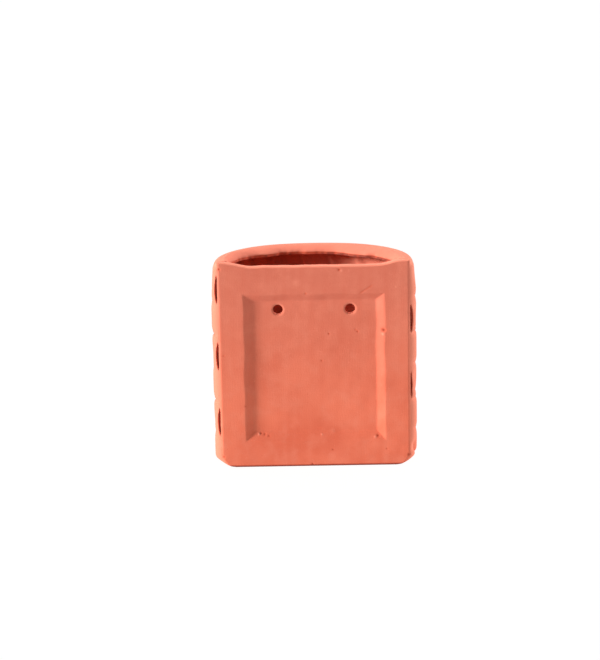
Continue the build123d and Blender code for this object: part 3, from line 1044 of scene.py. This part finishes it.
@dataclass
class RimFlange:
    """The rolled rim, the ledge that slopes in from it and the knife-cut mouth."""

    sizes: BodySizes = BODY
    roll_in: float = 4.2
    roll_side: float = 2.8
    roll_down: float = 6.2
    end_round: float = 1.6
    drop: float = 4.0
    slope: float = 2.4
    sag: float = 0.3
    # Painted highlight on the rolled top and the ledge; painted shade on the knife-cut face and under the
    # ledge.
    top_highlight: float = 0.5
    ledge_shade: float = 0.3
    cut_shade: float = -1.35
    under_shade: float = -1.4
    cut_levels: tuple[float, ...] = (0.2, 0.5, 0.8, 1.0)
    cut_wander: Pair = (0.40, 0.16)
    cut_ripple: float = 0.25
    soft_edge: float = 0.25
    nick_across: float = -44.5
    nick_deep: float = 1.7
    nick_width: float = 2.6
    mouth: tuple[Pair, ...] = (
        (62.5, 8.0), (62.0, 20.0), (58.6, 34.5), (52.8, 45.5), (44.6, 52.0), (35.9, 56.0), (28.9, 60.5),
        (21.2, 65.0), (11.2, 66.4), (0.3, 66.0), (-9.7, 65.2), (-16.5, 63.8), (-22.5, 59.5), (-29.4, 53.4),
        (-37.9, 47.6), (-45.5, 43.0), (-52.0, 36.0), (-57.2, 27.0), (-60.4, 17.0), (-61.0, 8.0))

    def mouth_line(self, share: np.ndarray) -> tuple[np.ndarray, np.ndarray]:
        """The mouth's edge and how far the knife strayed from it.

        Args:
            share: shares 0..1 of the way along the mouth.

        Returns:
            Points of the even edge and the offsets that the knife adds, both (n, 2).
        """
        stops = np.array(self.mouth)
        fine = np.linspace(0, len(stops) - 1, 400)
        low = np.clip(fine.astype(int), 0, len(stops) - 2)
        t = (fine - low)[:, None]
        p0, p1 = stops[np.maximum(low - 1, 0)], stops[low]
        p2, p3 = stops[low + 1], stops[np.minimum(low + 2, len(stops) - 1)]
        curve = 0.5 * (2 * p1 + (p2 - p0) * t + (2 * p0 - 5 * p1 + 4 * p2 - p3) * t**2
                       + (3 * p1 - p0 - 3 * p2 + p3) * t**3)
        gone = np.concatenate([[0], np.cumsum(np.hypot(*np.diff(curve, axis=0).T))])
        at = share * gone[-1]
        line = np.stack([np.interp(at, gone, curve[:, k]) for k in (0, 1)], -1)
        slope = np.gradient(line, axis=0)
        out = np.stack([slope[:, 1], -slope[:, 0]], -1)
        out /= np.maximum(np.hypot(*out.T), 1e-9)[:, None]
        free = smooth(line[:, 1], self.sizes.slab, self.sizes.slab + 6)
        cut = self.cut_wander[0] * Ripple(21, 13).at(at) + self.cut_wander[1] * Ripple(22, 4).at(at)
        cut = cut - self.nick_deep * bump(line[:, 0], self.nick_across, self.nick_width)
        return line, -out * (cut * free)[:, None]

    def build(self, clay: bpy.types.Material) -> bpy.types.Object:
        """Sweep the rim's section round the bow."""
        draft = Draft("rim_flange_clay")
        s = self.sizes
        outline = Outline(s)
        col = outline.columns()
        run, point, out = col["run"], col["point"], col["out"]
        reach = col["reach"] * outline.taper(s.height, run)
        way = pushes(out)
        even, strayed = self.mouth_line(run / run[-1])
        behind = 1 - smooth(from_ends(run), 0.0, 9.0)
        # Painted highlight along the ends beside the slab.
        tone_and_painted_light = outline.painted_edge_highlight(run)
        fill = s.rim_crest * (1 - smooth(from_ends(run), *s.rim_calm))
        roll = self.roll_in + self.roll_side * out[:, 0] ** 2
        hand = np.where(run < run[-1] / 2, 1.0, -1.0)

        def level(flat: np.ndarray, height, beside: bool = False) -> np.ndarray:
            """Points at a height, kept off the slab's own room, in front of it or beside it."""
            spot = np.array(flat, float)
            inside = (np.abs(spot[:, 0]) < s.slab_half) & (spot[:, 1] < s.slab)
            if beside:
                spot[:, 0] = np.where(inside, hand * s.slab_half, spot[:, 0])
            else:
                spot[:, 1] = np.where(inside, s.slab, spot[:, 1])
            return np.column_stack([spot, np.broadcast_to(height, len(spot))])

        numbers = []
        for height in np.linspace(s.rim_underside, s.height - self.roll_down, 3):
            numbers.append(draft.add(level(point, height, True), run=run, rise=height, reach=reach, way=way,
                                     fill=fill, wear=tone_and_painted_light))
        # Painted highlight over the roll's top, blending from the painted edge highlight at the ends.
        for a in np.linspace(0, math.pi / 2, 13)[1:]:
            turned = 1 - math.cos(a)
            flat = point - out * (roll * turned)[:, None]
            flat[:, 1] += self.end_round * turned * behind
            height = s.height - self.roll_down * (1 - math.sin(a))
            numbers.append(draft.add(level(flat, height, True), run=run, rise=height,
                                     reach=reach * math.cos(a) ** 0.8, way=way, fill=fill,
                                     wear=tone_and_painted_light * math.cos(a) + self.top_highlight * math.sin(a)))
        start = point - out * roll[:, None]
        wave = Ripple(31, 34)
        # The ledge is painted paler at the roll and less so toward the mouth: painted highlight.
        for t in np.linspace(0, 1, 30)[1:]:
            flat = start * (1 - t) + even * t + strayed * t**5
            turned = float(smooth(t, 0.93, 1.0))
            sag = self.sag * math.sin(math.pi * t) * (1 + wave.at(flat[:, 0], flat[:, 1]))
            height = s.height - self.drop * t**self.slope - self.soft_edge * turned - sag
            numbers.append(draft.add(level(flat, height), wear=self.top_highlight - self.ledge_shade * t))
        mouth = even + strayed
        lip = s.height - self.drop - self.soft_edge
        ragged = Ripple(33, 5).at(run)
        # Painted shade on the knife-cut face, deeper toward the -X side, with a ragged ripple.
        cut_shade = self.cut_shade - 0.5 * smooth(-mouth[:, 0], -5.0, 25.0) + 0.35 * ragged
        for t in self.cut_levels:
            flat = mouth + self.cut_ripple * math.sin(math.pi * t) * ragged[:, None] * out
            numbers.append(draft.add(level(flat, lip - t * (lip - s.rim_underside)), wear=cut_shade))
        inner = point - out * s.wall
        # Painted shade under the ledge, from the mouth back to the wall.
        for t in np.linspace(0, 1, 10)[1:]:
            numbers.append(draft.add(level(mouth * (1 - t) + inner * t, s.rim_underside),
                                     wear=self.under_shade))
        numbers.append(numbers[0])
        grid = np.stack(numbers)
        draft.quads(grid[:-1], flip=True)
        draft.quads(grid[-2:], hidden=True, flip=True)
        draft.cap(grid)
        made = draft.build()
        PlaitRelief().raise_on(made, clay)
        return made


class Seams:
    """Gives pieces of the same clay one shared shading where their skins meet."""

    def __init__(self) -> None:
        """Start with no pieces."""
        self.pieces: list[bpy.types.Object] = []

    def add(self, piece: bpy.types.Object) -> None:
        """Take part of the shared shading."""
        self.pieces.append(piece)

    def close(self) -> None:
        """Average the normals of visible faces at points that the pieces share."""
        summed: dict[tuple[int, int, int], np.ndarray] = {}
        cached = []
        for piece in self.pieces:
            mesh = piece.data
            count = len(mesh.vertices)
            co = np.empty(count * 3)
            mesh.vertices.foreach_get("co", co)
            co = co.reshape(-1, 3)
            contact = mesh.attributes.get("contact")
            flags = np.zeros(len(mesh.polygons))
            if contact and contact.domain == "FACE":
                contact.data.foreach_get("value", flags)
            total = np.zeros((count, 3))
            for poly, flag in zip(mesh.polygons, flags):
                if flag < 0.5:
                    total[list(poly.vertices)] += np.array(poly.normal) * poly.area
            keys = np.round(co / SAME_PLACE).astype(np.int64)
            cached.append((mesh, total, keys, flags))
            for key, value in zip(map(tuple, keys), total):
                summed[key] = summed.get(key, 0) + value
        for mesh, total, keys, flags in cached:
            shared = np.array([summed[key] for key in map(tuple, keys)])
            length = np.linalg.norm(shared, axis=1, keepdims=True)
            shared = shared / np.maximum(length, 1e-12)
            normals = []
            for poly, flag in zip(mesh.polygons, flags):
                own = tuple(poly.normal)
                for vertex in poly.vertices:
                    normals.append(tuple(shared[vertex]) if flag < 0.5 and length[vertex] > 0 else own)
            mesh.normals_split_custom_set(normals)


@dataclass(frozen=True)
class Sun:
    """A distant light: its direction from the pot, apparent width in degrees and irradiance."""

    name: str
    toward: Triple
    soft: float
    power: float


@dataclass(frozen=True)
class Studio:
    """Pale floor, three broad lights and the camera behind the pot."""

    elevation: float = 13.5
    distance: float = 1.494
    lens: float = 109.7
    roll: float = 0.96
    shift: Pair = (-0.0226, 0.0589)
    target_height: float = 0.075
    floor_half: float = 30.0
    floor_grey: float = 0.15
    floor_glow: float = 0.95
    sky: float = 0.33
    suns: tuple[Sun, ...] = (Sun("key", (0.93, 0.275, 0.25), 15.0, 4.8),
                             Sun("top", (0.15, -0.42, 0.89), 40.0, 2.65),
                             Sun("rear", (-0.88, -0.34, 0.20), 36.0, 3.4))

    def camera(self) -> None:
        """Place the camera."""
        data = bpy.data.cameras.new("camera")
        data.lens, data.sensor_width, data.sensor_fit = self.lens, 36.0, "AUTO"
        data.shift_x, data.shift_y = self.shift
        data.clip_end = 20.0
        made = linked("camera", data)
        target = Vector((0.0, BACK_Y * MM, self.target_height))
        up = math.radians(self.elevation)
        made.location = target + Vector((0.0, math.cos(up), math.sin(up))) * self.distance
        turn = (target - made.location).to_track_quat("-Z", "Y").to_matrix().to_4x4()
        made.matrix_world = Matrix.Translation(made.location) @ turn @ Matrix.Rotation(
            math.radians(-self.roll), 4, "Z")
        bpy.context.scene.camera = made

    def shine(self, sun: Sun, only: bpy.types.Collection) -> None:
        """Add one distant light.

        Args:
            sun: the light.
            only: the collection that it lights, so that the floor stays free of shadows.
        """
        data = bpy.data.lights.new(sun.name, "SUN")
        data.angle, data.energy = math.radians(sun.soft), sun.power
        made = linked(sun.name, data)
        made.rotation_euler = (-Vector(sun.toward)).to_track_quat("-Z", "Y").to_euler()
        made.location = Vector(sun.toward).normalized() * 2
        made.light_linking.receiver_collection = only

    def floor(self) -> None:
        """Add the pale floor and the bright surroundings."""
        mesh = bpy.data.meshes.new("floor")
        half = self.floor_half
        mesh.from_pydata([(-half, -half, 0), (half, -half, 0), (half, half, 0), (-half, half, 0)], [],
                         [(0, 1, 2, 3)])
        made = linked("floor", mesh)
        paint = bpy.data.materials.new("floor")
        paint.use_nodes = True
        shader = paint.node_tree.nodes["Principled BSDF"]
        for key, value in (("Base Color", (self.floor_grey,) * 3 + (1,)), ("Roughness", 0.9),
                           ("Emission Color", (1, 1, 1, 1)), ("Emission Strength", self.floor_glow)):
            shader.inputs[key].default_value = value
        mesh.materials.append(paint)
        world = bpy.data.worlds.new("world")
        world.use_nodes = True
        background = world.node_tree.nodes["Background"]
        background.inputs[0].default_value, background.inputs[1].default_value = (1, 1, 1, 1), self.sky
        bpy.context.scene.world = world

    def build(self, pieces: list[bpy.types.Object]) -> None:
        """Set the whole stage.

        Args:
            pieces: what the lights fall on.
        """
        self.camera()
        self.floor()
        lit = bpy.data.collections.new("lit")
        for piece in pieces:
            lit.objects.link(piece)
        for sun in self.suns:
            self.shine(sun, lit)
        view = bpy.context.scene.view_settings
        view.view_transform, view.look = "Standard", "None"


def main() -> None:
    """Build, dress and place every piece."""
    logging.basicConfig(level=logging.INFO, format="%(name)s: %(message)s")
    clay = Terracotta().material()
    seams = Seams()
    parts = (("back_slab", BackSlab()), ("front_wall", FrontWall()), ("base_slab", BaseSlab()),
             ("rim_flange", RimFlange()))
    for node, part in parts:
        piece = part.build(clay)
        for poly in piece.data.polygons:
            poly.use_smooth = True
        seams.add(piece)
        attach(piece, "root")
        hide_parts(node)
        LOG.info("%s: %d faces", piece.name, len(piece.data.polygons))
    seams.close()
    Studio().build(seams.pieces)


if __name__ == "__main__":
    main()
